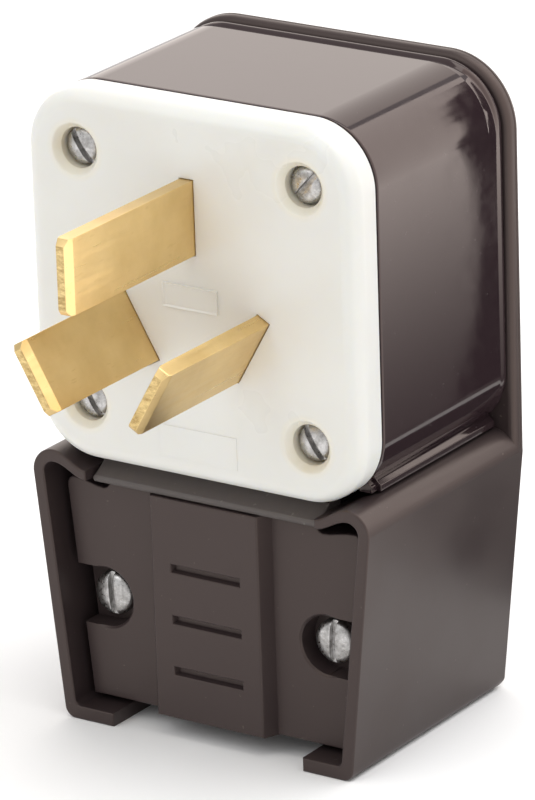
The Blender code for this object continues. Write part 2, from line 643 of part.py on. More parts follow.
def clamp_screws(material):
    head = (CLAMP_SEAT, CLAMP_HEAD_R, CLAMP_HEAD_HIGH)
    shank = (CLAMP_SCREW_R, CLAMP_SCREW_LONG)
    flat = NUT_SIZE / 2
    nut_end = NUT_FRONT + NUT_THICK
    for name, side in (("left", -1), ("right", 1)):
        x, z = side * CLAMP_SCREW_AT, CLAMP_SCREW_Z
        slotted_screw(f"clamp_screw_{name}", (x, z), head, shank, CLAMP_SLOT_TURNS[name], material)
        shape = block((x - flat, x + flat), (NUT_FRONT, nut_end), (z - flat, z + flat))
        nut = add(f"clamp_nut_{name}", shape, material)
        combine(nut, rod(CLAMP_SCREW_R + GAP, NUT_FRONT - OVER, nut_end + OVER, (x, z)))


def build():
    clear_scene()
    datum = bpy.data.objects.new("plug_datum", None)
    bpy.context.scene.collection.objects.link(datum)
    datum.location = (0, FACE_Y, FLOOR_DROP)
    finishes = all_finishes()
    rear_shell(finishes["matt"])
    upper_box(finishes["gloss"])
    face_plate(finishes["white"])
    insulator(finishes["inner"])
    for blade in BLADES:
        add(f"{blade}_blade", turned_to_blade(blade_shape(blade), blade), finishes["brass"])
        terminal_lug(blade, finishes["brass"])
        pressure_plate(blade, finishes["zinc"])
        grub_screw(blade, finishes["zinc"])
    face_screws(finishes["zinc"], finishes["brass"])
    clamp_plate(finishes["matt"])
    clamp_screws(finishes["zinc"])


build()
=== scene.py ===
# %% [markdown]
# # An angle plug with three blades, piece by piece
#
# The plug has a white nylon face with three brass blades, a glossy black box behind it, and a
# satin shell that ends in a cord clamp.  This lesson builds the surface that the eye sees round a
# CAD model that is already the right size.  We load that model first, because every piece below
# takes its place from it and rides on one of its moving bodies.

# %% Load the frame
import json
import math

import bmesh
import bpy
from mathutils import Matrix, Vector


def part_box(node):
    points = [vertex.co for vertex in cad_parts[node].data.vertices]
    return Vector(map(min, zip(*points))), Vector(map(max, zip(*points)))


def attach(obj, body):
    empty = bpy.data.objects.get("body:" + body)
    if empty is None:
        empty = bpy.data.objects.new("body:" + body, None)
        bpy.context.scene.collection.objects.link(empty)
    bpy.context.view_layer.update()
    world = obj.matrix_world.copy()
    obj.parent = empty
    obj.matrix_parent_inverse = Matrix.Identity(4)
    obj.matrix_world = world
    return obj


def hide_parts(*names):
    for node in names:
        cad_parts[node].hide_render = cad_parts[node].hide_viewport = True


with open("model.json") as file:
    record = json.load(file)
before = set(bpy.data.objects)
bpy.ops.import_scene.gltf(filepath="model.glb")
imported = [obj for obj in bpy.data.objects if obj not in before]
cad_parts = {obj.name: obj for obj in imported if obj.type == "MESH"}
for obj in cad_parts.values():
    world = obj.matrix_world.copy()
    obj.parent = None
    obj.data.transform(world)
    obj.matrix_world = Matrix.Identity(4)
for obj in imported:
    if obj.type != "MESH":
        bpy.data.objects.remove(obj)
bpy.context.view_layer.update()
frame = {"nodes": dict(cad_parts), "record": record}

MM = 0.001

# %% [markdown]
# We draw every piece in the plug's own frame: x to the right, y as the depth behind the white
# face and z up from the face's middle.  `settle` carries a finished shape from there to its real
# place, so the numbers below read like the ones on a drawing.

# %% The face's own frame
face_low, face_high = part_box("face_plate")
shell_low, shell_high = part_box("rear_shell")
box_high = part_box("upper_box")[1]
clamp_low, clamp_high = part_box("clamp_plate")
FRONT = face_low.y
MIDDLE = (face_low.z + face_high.z) / 2
HALF = (face_high.x - face_low.x) / 2
FACE_THICK = face_high.y - face_low.y
BACK = shell_high.y - FRONT
FLOOR = shell_low.z - MIDDLE
RIM_HALF = shell_high.x
CORNER = 11 * MM
GAP = 0.3 * MM
TOUCH = 1e-6
print("half face", round(HALF / MM, 2), "back", round(BACK / MM, 2), "floor", round(FLOOR / MM, 2))

# %% [markdown]
# A few outlines come back again and again: an arc, and a square with round corners.  They are
# plain lists of (x, z) points.  Everything solid is made from them by Blender's own operators.

# %% Outlines
def arc(cx, cz, radius, start, end, steps=12):
    """Points along an arc, between two angles in degrees."""
    turns = [math.radians(start + (end - start) * i / steps) for i in range(steps + 1)]
    return [(cx + radius * math.cos(turn), cz + radius * math.sin(turn)) for turn in turns]


def round_square(half_x, low, high, radius, steps=16):
    """Square with round corners, symmetric about the middle, anticlockwise."""
    inner = half_x - radius
    return (
        arc(inner, low + radius, radius, -90, 0, steps)
        + arc(inner, high - radius, radius, 0, 90, steps)
        + arc(-inner, high - radius, radius, 90, 180, steps)
        + arc(-inner, low + radius, radius, 180, 270, steps)
    )


def mirrored(right_side):
    """Closed outline from its right half, given from the foot up."""
    return right_side + [(-x, z) for x, z in reversed(right_side)]


# %% [markdown]
# Two ways to turn an outline into a solid.  `prism` fills it and extrudes the face, as you would
# with E in Edit Mode.  `lofted` lays one ring at each depth and bridges each pair, which gives
# rims and beads that follow the corners without a seam.

# %% Solids from outlines
def tidy(shape, reach=TOUCH):
    """Merge doubles and turn every face outwards."""
    bmesh.ops.remove_doubles(shape, verts=shape.verts, dist=reach)
    bmesh.ops.recalc_face_normals(shape, faces=shape.faces)
    return shape


def extruded(points, sweep):
    shape = bmesh.new()
    face = shape.faces.new([shape.verts.new(point) for point in points])
    swept = bmesh.ops.extrude_face_region(shape, geom=[face])["geom"]
    far = [item for item in swept if isinstance(item, bmesh.types.BMVert)]
    bmesh.ops.translate(shape, verts=far, vec=sweep)
    return tidy(shape)


def prism(outline, start, end):
    """Solid from an outline of (x, z) points, between two depths."""
    return extruded([(x, start, z) for x, z in outline], (0, end - start, 0))


def prism_across(outline, half):
    """Solid from an outline of (depth, z) points, to both sides of the middle."""
    return extruded([(-half, depth, z) for depth, z in outline], (2 * half, 0, 0))


def block(x, y, z):
    """Box between three (low, high) pairs."""
    shape = bmesh.new()
    bmesh.ops.create_cube(shape, size=1)
    bmesh.ops.scale(shape, verts=shape.verts, vec=(x[1] - x[0], y[1] - y[0], z[1] - z[0]))
    centre = ((x[0] + x[1]) / 2, (y[0] + y[1]) / 2, (z[0] + z[1]) / 2)
    bmesh.ops.translate(shape, verts=shape.verts, vec=centre)
    return shape


def lofted(rings):
    """Solid through (outline, depth) rings, closed at both ends."""
    shape = bmesh.new()
    loops = []
    for outline, depth in rings:
        verts = [shape.verts.new((x, depth, z)) for x, z in outline]
        loops.append([shape.edges.new(pair) for pair in zip(verts, verts[1:] + verts[:1])])
        if depth in (rings[0][1], rings[-1][1]):
            shape.faces.new(verts)
    for near, far in zip(loops, loops[1:]):
        bmesh.ops.bridge_loops(shape, edges=near + far)
    return tidy(shape)


def turned(profile, closed=False, sides=48):
    """Solid of revolution about the depth axis, from (radius, depth) points."""
    shape = bmesh.new()
    points = [shape.verts.new((radius, depth, 0)) for radius, depth in profile]
    pairs = list(zip(points, points[1:])) + ([(points[-1], points[0])] if closed else [])
    edges = [shape.edges.new(pair) for pair in pairs]
    bmesh.ops.spin(shape, geom=points + edges, axis=(0, 1, 0), cent=(0, 0, 0),
                   angle=math.tau, steps=sides, use_merge=True)
    return tidy(shape)


def drill(radius, start, end):
    """Round cutter for a bore, between two depths."""
    return turned([(0, start), (radius, start), (radius, end), (0, end)], sides=32)


def sliced(shape, depth, facing, **options):
    """Cut a loop round a shape at a depth, and clear one side if the options say so."""
    geometry = shape.verts[:] + shape.edges[:] + shape.faces[:]
    bmesh.ops.bisect_plane(shape, geom=geometry, plane_co=(0, depth, 0), plane_no=(0, facing, 0), **options)


def moved(shape, x=0.0, depth=0.0, z=0.0):
    bmesh.ops.translate(shape, verts=shape.verts, vec=(x, depth, z))
    return shape


# %% [markdown]
# Moulded plastic never has a razor edge: even a sharp corner has a tiny radius that catches a
# line of light.  `softened` bevels the edges that a test picks, and `softened_corners` bevels the
# edges that turn by more than an angle.

# %% Softened edges
def bevelled(shape, edges, width, segments, **limits):
    bmesh.ops.bevel(shape, geom=edges, offset=width, segments=segments, affect="EDGES",
                    profile=0.5, material=-1, **limits)


def sharp_edges(shape, angle):
    least = math.radians(angle)
    return [edge for edge in shape.edges if edge.is_manifold and edge.calc_face_angle() > least]


def softened(shape, test, width, segments=3):
    edges = [edge for edge in shape.edges if all(test(vert.co) for vert in edge.verts)]
    bevelled(shape, edges, width, segments)
    return tidy(shape)


def softened_corners(shape, width, angle):
    bevelled(shape, sharp_edges(shape, angle), width, 2)
    return tidy(shape)


# %% [markdown]
# Holes and unions use the Boolean modifier.  We let Blender evaluate it at once and keep only the
# result, so that no helper is left in the file.

# %% Objects and Booleans
def in_scene(name, data):
    made = bpy.data.objects.new(name, data)
    bpy.context.scene.collection.objects.link(made)
    return made


def as_object(name, shape):
    mesh = bpy.data.meshes.new(name)
    shape.to_mesh(mesh)
    shape.free()
    return in_scene(name, mesh)


def combined(piece, shapes, operation="DIFFERENCE"):
    """Cut shapes from a piece, or join them on."""
    helpers = [as_object("helper", shape) for shape in shapes]
    for helper in helpers:
        step = piece.modifiers.new("Boolean", "BOOLEAN")
        step.operation, step.solver, step.object = operation, "EXACT", helper
    graph = bpy.context.evaluated_depsgraph_get()
    result = bpy.data.meshes.new_from_object(piece.evaluated_get(graph))
    piece.modifiers.clear()
    piece.data = result
    for helper in helpers:
        bpy.data.objects.remove(helper, do_unlink=True)


def finished(piece, material, sharp):
    """Shade a piece smoothly.  Weighted normals keep the big flat faces flat beside their bevels."""
    piece.data.materials.clear()
    piece.data.materials.append(material)
    piece.data.shade_smooth()
    piece.data.set_sharp_from_angle(angle=math.radians(sharp))
    normals = piece.modifiers.new("Weighted normals", "WEIGHTED_NORMAL")
    normals.mode, normals.weight, normals.keep_sharp = "FACE_AREA", 50, True


def settle(piece, body, material, nodes, sharp=34):
    """Carry a piece to its real place, shade it, and tie it to its body."""
    piece.data.transform(Matrix.Translation((0, FRONT, MIDDLE)))
    finished(piece, material, sharp)
    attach(piece, body)
    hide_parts(*nodes)
    print(piece.name, len(piece.data.polygons), "faces")


# %% [markdown]
# ## Finishes
#
# All finishes are node trees on Object coordinates, so they stay put when a piece moves.  A small
# helper adds a node and sets its sockets, which keeps each recipe short.

# %% Node helpers
def new_finish(name, colour, roughness, metallic=0.0):
    material = bpy.data.materials.new(name)
    material.use_nodes = True
    shader = material.node_tree.nodes["Principled BSDF"]
    shader.inputs["Base Color"].default_value = (*colour, 1)
    shader.inputs["Roughness"].default_value = roughness
    shader.inputs["Metallic"].default_value = metallic
    material.diffuse_color = (*colour, 1)
    return material, shader


def node(material, kind, **values):
    made = material.node_tree.nodes.new(kind)
    for key, value in values.items():
        if key in made.inputs:
            made.inputs[key].default_value = value
        else:
            setattr(made, key, value)
    return made


def link(material, source, target):
    material.node_tree.links.new(source, target)


def object_points(material, stretch=(1, 1, 1), turn=(0, 0, 0)):
    """Object coordinates, stretched along the axes so that a pattern runs one way."""
    source = node(material, "ShaderNodeTexCoord")
    mapping = node(material, "ShaderNodeMapping", Scale=stretch, Rotation=turn)
    link(material, source.outputs["Object"], mapping.inputs["Vector"])
    return mapping.outputs["Vector"]


def noise(material, points, scale, detail=3.0, rough=0.5):
    made = node(material, "ShaderNodeTexNoise", Scale=scale, Detail=detail, Roughness=rough)
    link(material, points, made.inputs["Vector"])
    return made.outputs["Fac"]


def spread(material, value, low, high, to_low=0.0, to_high=1.0):
    """Map part of a value's range to another range."""
    made = node(material, "ShaderNodeMapRange")
    sockets = ("From Min", "From Max", "To Min", "To Max")
    for socket, number in zip(sockets, (low, high, to_low, to_high)):
        made.inputs[socket].default_value = number
    link(material, value, made.inputs["Value"])
    return made.outputs["Result"]


def blend(material, factor, first, second):
    """Mix two colours, each a plain one or the output of a node."""
    made = node(material, "ShaderNodeMix", data_type="RGBA")
    link(material, factor, made.inputs[0])
    for index, colour in ((6, first), (7, second)):
        if isinstance(colour, tuple):
            made.inputs[index].default_value = (*colour, 1)
        else:
            link(material, colour, made.inputs[index])
    return made.outputs[2]


def coloured(material, shader, source):
    link(material, source, shader.inputs["Base Color"])


def roughened(material, shader, pattern, *ends):
    """Drive the roughness with a pattern.  The ends are those of `spread`."""
    link(material, spread(material, pattern, *ends), shader.inputs["Roughness"])


def times(material, first, second):
    made = node(material, "ShaderNodeMath", operation="MULTIPLY")
    link(material, first, made.inputs[0])
    link(material, second, made.inputs[1])
    return made.outputs[0]


def bumped(material, shader, height, strength, distance):
    made = node(material, "ShaderNodeBump", Strength=strength, Distance=distance)
    link(material, height, made.inputs["Height"])
    link(material, made.outputs["Normal"], shader.inputs["Normal"])


# %% [markdown]
# The lower shell and the clamp are moulded with a satin, faintly pebbled surface.  The colour is a
# very dark brown, not pure black.  A fine noise breaks up the highlight, a broad one makes the
# gloss uneven as on handled plastic, and a few pale specks stand for dust and small nicks.

# %% Satin shell
def satin_shell():
    material, shader = new_finish("satin_brown_black", (0.036, 0.026, 0.027), 0.34)
    shader.inputs["Specular Tint"].default_value = (1.0, 0.84, 0.74, 1)
    shader.inputs["Specular IOR Level"].default_value = 0.43
    points = object_points(material)
    grain = noise(material, points, 2600, 2)
    broad = noise(material, points, 60, 4)
    roughened(material, shader, broad, 0.3, 0.7, 0.29, 0.42)
    tone = blend(material, broad, (0.034, 0.024, 0.025), (0.040, 0.029, 0.029))
    specks = spread(material, noise(material, points, 1100, 1), 0.775, 0.82, 0.0, 0.6)
    coloured(material, shader, blend(material, specks, tone, (0.12, 0.10, 0.09)))
    bumped(material, shader, grain, 0.25, 0.02 * MM)
    return material


SATIN = satin_shell()

# %% [markdown]
# The box behind the face is the same plastic from a polished mould.  It reflects the room almost
# like a mirror, with a slow waviness that bends the reflections.  Scuffs make the gloss uneven,
# and small specks stand for dust.

# %% Polished shell
def polished_shell():
    plain, dust_and_painted_light = (0.024, 0.014, 0.017), (0.11, 0.09, 0.09)
    material, shader = new_finish("polished_brown_black", plain, 0.07)
    shader.inputs["Specular Tint"].default_value = (1.0, 0.86, 0.78, 1)
    points = object_points(material)
    waves = noise(material, points, 60, 1)
    scuffs = noise(material, points, 300, 3)
    roughened(material, shader, scuffs, 0.4, 0.8, 0.06, 0.13)
    dust_and_painted_light_mask = spread(material, noise(material, points, 1300, 2), 0.72, 0.79, 0.0, 0.5)
    coloured(material, shader, blend(material, dust_and_painted_light_mask, plain, dust_and_painted_light))
    bumped(material, shader, waves, 0.1, 0.06 * MM)
    return material


POLISHED = polished_shell()

# %% [markdown]
# The face is milky nylon.  Light enters it and comes out again a little further on, so it needs
# subsurface scattering.  Round the screws the nylon is thin and light shows through it yellowish.
# The subsurface does part of that, and a painted glow does the rest: folding x and z makes the four
# screws into one, and a warmer colour, painted into the base, fades in near that one.

# %% White nylon
def vector_step(material, operation, source, second=(0, 0, 0)):
    made = node(material, "ShaderNodeVectorMath", operation=operation)
    link(material, source, made.inputs[0])
    made.inputs[1].default_value = second
    return made.outputs["Value" if operation == "DISTANCE" else "Vector"]


def near_screws(material, points, inner, outer):
    """One beside a screw, zero away from all four."""
    low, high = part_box("face_screw_upper_right")
    screw = (low + high) / 2
    centred = vector_step(material, "SUBTRACT", points, (0, 0, MIDDLE))
    folded = vector_step(material, "ABSOLUTE", centred)
    flat = vector_step(material, "MULTIPLY", folded, (1, 0, 1))
    apart = vector_step(material, "DISTANCE", flat, (screw.x, 0, screw.z - MIDDLE))
    return spread(material, apart, inner, outer, 1.0, 0.0)


def white_nylon():
    material, shader = new_finish("white_nylon", (0.75, 0.747, 0.715), 0.3)
    shader.inputs["Subsurface Weight"].default_value = 0.35
    shader.inputs["Subsurface Radius"].default_value = (1.0, 0.85, 0.55)
    shader.inputs["Subsurface Scale"].default_value = 2.5 * MM
    points = object_points(material)
    cloud = noise(material, points, 70, 3)
    tone = blend(material, spread(material, cloud, 0.1, 0.9), (0.75, 0.76, 0.735), (0.72, 0.71, 0.67))
    # painted glow: the warmer base colour near the screws stands in for light shining through the thin nylon
    glow = near_screws(material, points, 3.2 * MM, 5.6 * MM)
    coloured(material, shader, blend(material, glow, tone, (0.75, 0.70, 0.57)))
    roughened(material, shader, cloud, 0.1, 0.9, 0.22, 0.38)
    bumped(material, shader, noise(material, points, 700, 2), 0.12, 0.03 * MM)
    return material


NYLON = white_nylon()

# %% [markdown]
# The blades are sawn from rolled brass strip, so the flats carry fine lines that run along the
# strip.  We stretch a noise 25 times along the depth axis for those lines and feed it to both the
# roughness and the bump.  Blotches of darker, browner brass break up the tone, and the strip's
# narrow sides are worn darker still.

# %% Rolled brass
def rolled_brass(name, colour, dark, stretch):
    material, shader = new_finish(name, colour, 0.3, 1.0)
    lines = noise(material, object_points(material, stretch), 900, 4, 0.6)
    scratches = noise(material, object_points(material, (1, 0.12, 0.4), (0.5, 0, 0)), 2600, 2, 0.5)
    blotch = noise(material, object_points(material), 130, 4, 0.55)
    tone = blend(material, spread(material, blotch, 0.3, 0.75), colour, dark)
    fine = blend(material, spread(material, scratches, 0.66, 0.72, 0.0, 0.55), tone, dark)
    coloured(material, shader, fine)
    roughened(material, shader, lines, 0.3, 0.7, 0.26, 0.40)
    bumped(material, shader, lines, 0.22, 0.02 * MM)
    return material


BRASS = rolled_brass("rolled_brass", (0.82, 0.61, 0.29), (0.70, 0.50, 0.22), (1, 0.04, 1))
WORN_BRASS = rolled_brass("worn_brass_edge", (0.60, 0.42, 0.24), (0.46, 0.31, 0.17), (1, 0.1, 1))
TERMINAL_BRASS = rolled_brass("terminal_brass", (0.74, 0.55, 0.27), (0.62, 0.43, 0.19), (0.1, 1, 1))

# %% [markdown]
# The screws are zinc-plated steel, driven once and a little chewed.  The plating is bright grey
# with a grain that scatters the highlight, and darker stains where the zinc has dulled.

# %% Zinc plating
def zinc_plate():
    material, shader = new_finish("zinc_plated_steel", (0.58, 0.565, 0.55), 0.32, 1.0)
    points = object_points(material)
    stain = noise(material, points, 700, 4, 0.65)
    grain = noise(material, points, 2400, 3)
    tone = blend(material, spread(material, stain, 0.35, 0.72), (0.60, 0.59, 0.585), (0.24, 0.23, 0.22))
    coloured(material, shader, tone)
    roughened(material, shader, grain, 0.3, 0.7, 0.22, 0.5)
    bumped(material, shader, stain, 0.5, 0.06 * MM)
    return material


ZINC = zinc_plate()

# %% [markdown]
# Behind the face lies a plate of brown pressed fibre.  It is dull and has a fine mottle.

# %% Pressed fibre
def pressed_fibre():
    material, shader = new_finish("pressed_fibre", (0.13, 0.07, 0.04), 0.6)
    mottle = noise(material, object_points(material), 900, 5, 0.7)
    tone = blend(material, spread(material, mottle, 0.35, 0.7), (0.11, 0.058, 0.033), (0.19, 0.11, 0.065))
    coloured(material, shader, tone)
    bumped(material, shader, mottle, 0.3, 0.05 * MM)
    return material


FIBRE = pressed_fibre()
print("finishes", len(bpy.data.materials))

# %% [markdown]
# ## The white face
#
# The face is one slab of nylon with a big soft radius along its front edge.  We extrude a rounded
# square, bevel the front loop with many segments, then cut the wells of the four screws and the
# three blade slots.  First we look up where the screws and the blades stand.

# %% Places of the screws and blades
SCREW_PLACES = ("upper_left", "upper_right", "lower_left", "lower_right")
BLADE_NAMES = ("neutral", "hot_left", "hot_right")
LEAN = {"neutral": 0.0, "hot_left": -math.radians(30), "hot_right": math.radians(30)}


def centre_of(name):
    """Middle of a CAD node in the face's frame, as (x, z)."""
    low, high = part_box(name)
    return (low.x + high.x) / 2, (low.z + high.z) / 2 - MIDDLE


def depths_of(name):
    low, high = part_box(name)
    return low.y - FRONT, high.y - FRONT


BLADE_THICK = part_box("neutral_blade")[1].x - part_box("neutral_blade")[0].x
BLADE_WIDE = 12.7 * MM
SCREW_CENTRES = [centre_of(f"face_screw_{place}") for place in SCREW_PLACES]
for place, centre in zip(SCREW_PLACES, SCREW_CENTRES):
    print(place, [round(v / MM, 2) for v in centre])


def on_blade(shape, blade):
    """Lean an upright shape with its blade and carry it there."""
    x, z = centre_of(f"{blade}_blade")
    bmesh.ops.rotate(shape, verts=shape.verts, cent=(0, 0, 0), matrix=Matrix.Rotation(LEAN[blade], 3, "Y"))
    return moved(shape, x, 0, z)


# %% [markdown]
# Each well is a turned cutter whose profile is the well's own section: a lip that rolls over, a
# cone, and a flat seat for the head.  A blade's slot is a plain block with a little clearance.

# %% Cutters for the face
SCREW_HOLE = 2.05 * MM


def screw_well():
    mouth, bore, hole = 4.25 * MM, 3.5 * MM, SCREW_HOLE
    cone, seat, roll = 1.2 * MM, 3.9 * MM, 0.5 * MM
    lip = arc(mouth + roll, roll, roll, -90, -150, 4)
    profile = [(0, -MM), (mouth + roll, -MM)] + lip
    profile += [(bore, cone), (bore, seat), (hole, seat), (hole, FACE_THICK + MM), (0, FACE_THICK + MM)]
    return turned(profile, sides=64)


def blade_cutter(clearance):
    flat = BLADE_THICK / 2 + clearance
    half = BLADE_WIDE / 2 + clearance
    return block((-flat, flat), (-MM, FACE_THICK + MM), (-half, half))


# %% [markdown]
# Two small blank panels stand a hair proud of the face.  On the real thing they carry a mould's
# marking, which we leave out.  Each is a frame made by insetting a rectangle and raising its border.

# %% Blank panels
def blank_panel(low_x, high_x, low_z, high_z, rise, border):
    panel = block((low_x, high_x), (-rise, rise), (low_z, high_z))
    front = [face for face in panel.faces if face.normal.y < -0.5]
    bmesh.ops.inset_region(panel, faces=front, thickness=border)
    bmesh.ops.translate(panel, verts=front[0].verts, vec=(0, rise * 0.75, 0))
    return tidy(panel)


# %% [markdown]
# Now the slab itself.  The big radius in front is a bevel of ten segments, and the back edge gets
# a small one.  Cutters and panels are then combined with it.

# %% Build the face
FACE_ROUND, FACE_BACK_EDGE, BLADE_ROOM = 2.9 * MM, 0.35 * MM, 0.12 * MM
slab = prism(round_square(HALF, -HALF, HALF, CORNER, 24), 0, FACE_THICK)
softened(slab, lambda p: p.y < TOUCH, FACE_ROUND, 10)
softened(slab, lambda p: p.y > FACE_THICK - TOUCH, FACE_BACK_EDGE, 2)
nylon_face = as_object("nylon_face", slab)
combined(nylon_face, [moved(screw_well(), x, 0, z) for x, z in SCREW_CENTRES])
combined(nylon_face, [on_blade(blade_cutter(BLADE_ROOM), blade) for blade in BLADE_NAMES])
small_panel = blank_panel(-5.3 * MM, 5.4 * MM, -2.1 * MM, 2.0 * MM, 0.32 * MM, 0.45 * MM)
wide_panel = blank_panel(-7.1 * MM, 8.1 * MM, -28.4 * MM, -22.8 * MM, 0.11 * MM, 0.4 * MM)
combined(nylon_face, [small_panel, wide_panel], "UNION")
settle(nylon_face, "face", NYLON, ["face_plate"])

# %% [markdown]
# ## The blades
#
# A blade starts as its side outline, extruded by the strip's thickness.  The press leaves three
# marks on the end: the corners are clipped, both flats are chamfered, and the cut itself is rough.
# We cut a loop a little behind the tip and squeeze the tip, which makes both chamfers at once.

# %% Sheared end
def sheared_brass():
    material, shader = new_finish("sheared_brass", (0.80, 0.60, 0.28), 0.42, 1.0)
    points = object_points(material, (0.5, 1, 1))
    torn = noise(material, points, 1300, 4, 0.7)
    tone = blend(material, spread(material, torn, 0.3, 0.65), (0.88, 0.68, 0.33), (0.42, 0.28, 0.11))
    coloured(material, shader, tone)
    bumped(material, shader, torn, 0.9, 0.16 * MM)
    return material


SHEARED = sheared_brass()


def blade_piece(blade):
    start, end = depths_of(f"{blade}_blade")
    half, clip, edge_round = BLADE_WIDE / 2, 1.0 * MM, 0.12 * MM
    chamfer_long, tip_flat = 1.8 * MM, 1.5 * MM
    step, trap, step_long = half + 1.6 * MM, FACE_THICK + 2 * GAP, 1.6 * MM
    side = [(half, start), (half, trap), (step, trap), (step, trap + step_long), (half, trap + step_long),
            (half, end)]
    outline = side + [(-width, depth) for width, depth in reversed(side)]
    shape = prism_across([(depth, width) for width, depth in outline], BLADE_THICK / 2)
    sliced(shape, start + chamfer_long, 1, dist=1e-7)
    tip = [vert for vert in shape.verts if vert.co.y < start + TOUCH]
    bmesh.ops.scale(shape, verts=tip, vec=(tip_flat / BLADE_THICK, 1, 1))
    corners = [edge for edge in shape.edges if all(vert in tip for vert in edge.verts)
               and abs(edge.verts[0].co.z - edge.verts[1].co.z) < TOUCH]
    bevelled(shape, corners, clip, 1)
    for face in shape.faces:
        if abs(face.normal.z) > 0.9:
            face.material_index = 2
    softened_corners(shape, edge_round, 12)
    piece = as_object(f"{blade}_brass_blade", on_blade(shape, blade))
    settle(piece, "face", BRASS, [f"{blade}_blade"], sharp=40)
    piece.data.materials.append(SHEARED)
    piece.data.materials.append(WORN_BRASS)
    for face in piece.data.polygons:
        if face.normal.y < -0.9 and face.center.y < FRONT + start + 0.1 * MM:
            face.material_index = 1


for blade in BLADE_NAMES:
    blade_piece(blade)

# %% [markdown]
# ## The glossy box
#
# The box is a rounded square tube.  Its rings run from the crisp front edge, behind the face, to a
# step where the polish ends, and on to a bead beside the rim.  Each ring is the same outline,
# grown or shrunk sideways and upwards, so the loft keeps its corners aligned.

# %% Ring of the box
def box_ring(side, top, depth):
    """Outline of the box grown by two amounts: to the sides and foot, and at the top."""
    return round_square(HALF + side, -HALF - side, HALF + top, CORNER + max(side, top) * 0.5, 20), depth


box_start, box_end = FACE_THICK + GAP, box_high.y - FRONT
polish_end = BACK - 6.9 * MM
rings = [
    box_ring(-0.50 * MM, -0.50 * MM, box_start), box_ring(-0.15 * MM, -0.15 * MM, box_start + 0.14 * MM),
    box_ring(0, 0, box_start + 0.5 * MM), box_ring(0, 0, polish_end - 0.35 * MM),
    box_ring(0, -0.25 * MM, polish_end - 0.1 * MM), box_ring(0, -0.6 * MM, polish_end + 0.1 * MM),
    box_ring(0, -0.75 * MM, box_end - 1.9 * MM), box_ring(0.02 * MM, -0.55 * MM, box_end - 1.6 * MM),
    box_ring(0.05 * MM, -0.25 * MM, box_end - 1.2 * MM), box_ring(0.08 * MM, -0.15 * MM, box_end - 0.8 * MM),
    box_ring(0.08 * MM, -0.3 * MM, box_end - 0.3 * MM), box_ring(-0.1 * MM, -0.6 * MM, box_end),
]
glossy_box = as_object("glossy_box", lofted(rings))

# %% [markdown]
# Below the box hangs a neck that closes the front of the shell, and its bar shows under the face
# with a rounded lip.  Along each lower corner runs a narrow ledge with a stepped front end.

# %% Neck, bar and ledges
neck_half = 22.2 * MM
neck_low = -HALF - 3.4 * MM
bar_front = 1.6 * MM
lip_low, lip_round = neck_low - 0.85 * MM, 0.6 * MM
chin = [(box_start + 2 * MM, lip_low), (bar_front + 0.7 * MM, lip_low)]
for degrees in range(0, 136, 15):
    turn = math.radians(degrees)
    chin.append((bar_front + lip_round * (1 - math.sin(turn)), lip_low + lip_round * (1 - math.cos(turn))))
chin += [(bar_front + 2.2 * MM, -HALF - 2.2 * MM), (bar_front + 3.6 * MM, -HALF - 1.2 * MM),
         (bar_front + 4.6 * MM, -HALF - GAP), (box_start + 2 * MM, -HALF - GAP)]
bar = softened(prism_across(chin, neck_half), lambda p: abs(p.x) > neck_half - TOUCH, 0.35 * MM)
neck = block((-neck_half, neck_half), (box_start + MM, box_end), (neck_low, -HALF + MM))
ledges = []
ledge_in, ledge_low, ledge_side, ledge_top = 26.6 * MM, -HALF + MM, -HALF + 2.1 * MM, -HALF + 3.15 * MM
for side in (-1, 1):
    for reach, start in ((29.75 * MM, 9.2 * MM), (29.0 * MM, 7.6 * MM)):
        outline = [(side * x, z) for x, z in ((ledge_in, ledge_low), (reach, ledge_low), (reach, ledge_side),
                                              (reach - 1.2 * MM, ledge_top), (ledge_in, ledge_top))]
        ledges.append(softened_corners(prism(outline, start, box_end - 0.5 * MM), 0.12 * MM, 30))
combined(glossy_box, [bar, neck] + ledges, "UNION")

# %% [markdown]
# Inside, the box keeps solid corners for the long screws, so the front cavity has clipped corners
# and only the last few millimetres open out to the full width.

# %% Inside of the box
def clipped_square(half, sum_limit):
    short = sum_limit - half
    return [(half, -short), (half, short), (short, half), (-short, half),
            (-half, short), (-half, -short), (-short, -half), (short, -half)]


wall = 2.6 * MM
inside = HALF - wall
corner_room = 3.65 * MM
clip_sum = 2 * centre_of("face_screw_upper_right")[0] - corner_room * math.sqrt(2)
block_end = BACK - 9.4 * MM
way_half = neck_half - wall
holes = [prism(clipped_square(inside, clip_sum), box_start - MM, block_end),
         prism(round_square(inside, -inside, inside, CORNER - wall), block_end - 0.5 * MM, box_end + MM),
         block((-way_half, way_half), (box_start + wall, box_end + MM), (neck_low - MM, -inside + MM))]
holes += [moved(drill(SCREW_HOLE, 0, block_end + MM), x, 0, z) for x, z in SCREW_CENTRES]
combined(glossy_box, holes)
settle(glossy_box, "housing", POLISHED, ["upper_box"])

# %% [markdown]
# The bar belongs to the box and is as dull as the shell.  It lies in the shade under the face, so
# we give the faces of the bar a second material with painted light: a base about twice as light as
# the shell's, and pale specks that lighten it further.

# %% Bar with painted light
def bar_painted_light():
    # painted light: the plain colour is much lighter than the shell's, and the pale specks lighten it
    # further, standing in for light the shaded bar doesn't get
    plain, dust_and_painted_light = (0.09, 0.075, 0.07), (0.25, 0.23, 0.21)
    material, shader = new_finish("brown_bar_painted_light", plain, 0.42)
    points = object_points(material)
    grain, dust_and_painted_light_mask = noise(material, points, 900, 3), noise(material, points, 1100, 2)
    roughened(material, shader, grain, 0.3, 0.7, 0.36, 0.48)
    dust_and_painted_light_mask = spread(material, dust_and_painted_light_mask, 0.68, 0.80, 0.0, 0.6)
    coloured(material, shader, blend(material, dust_and_painted_light_mask, plain, dust_and_painted_light))
    return material


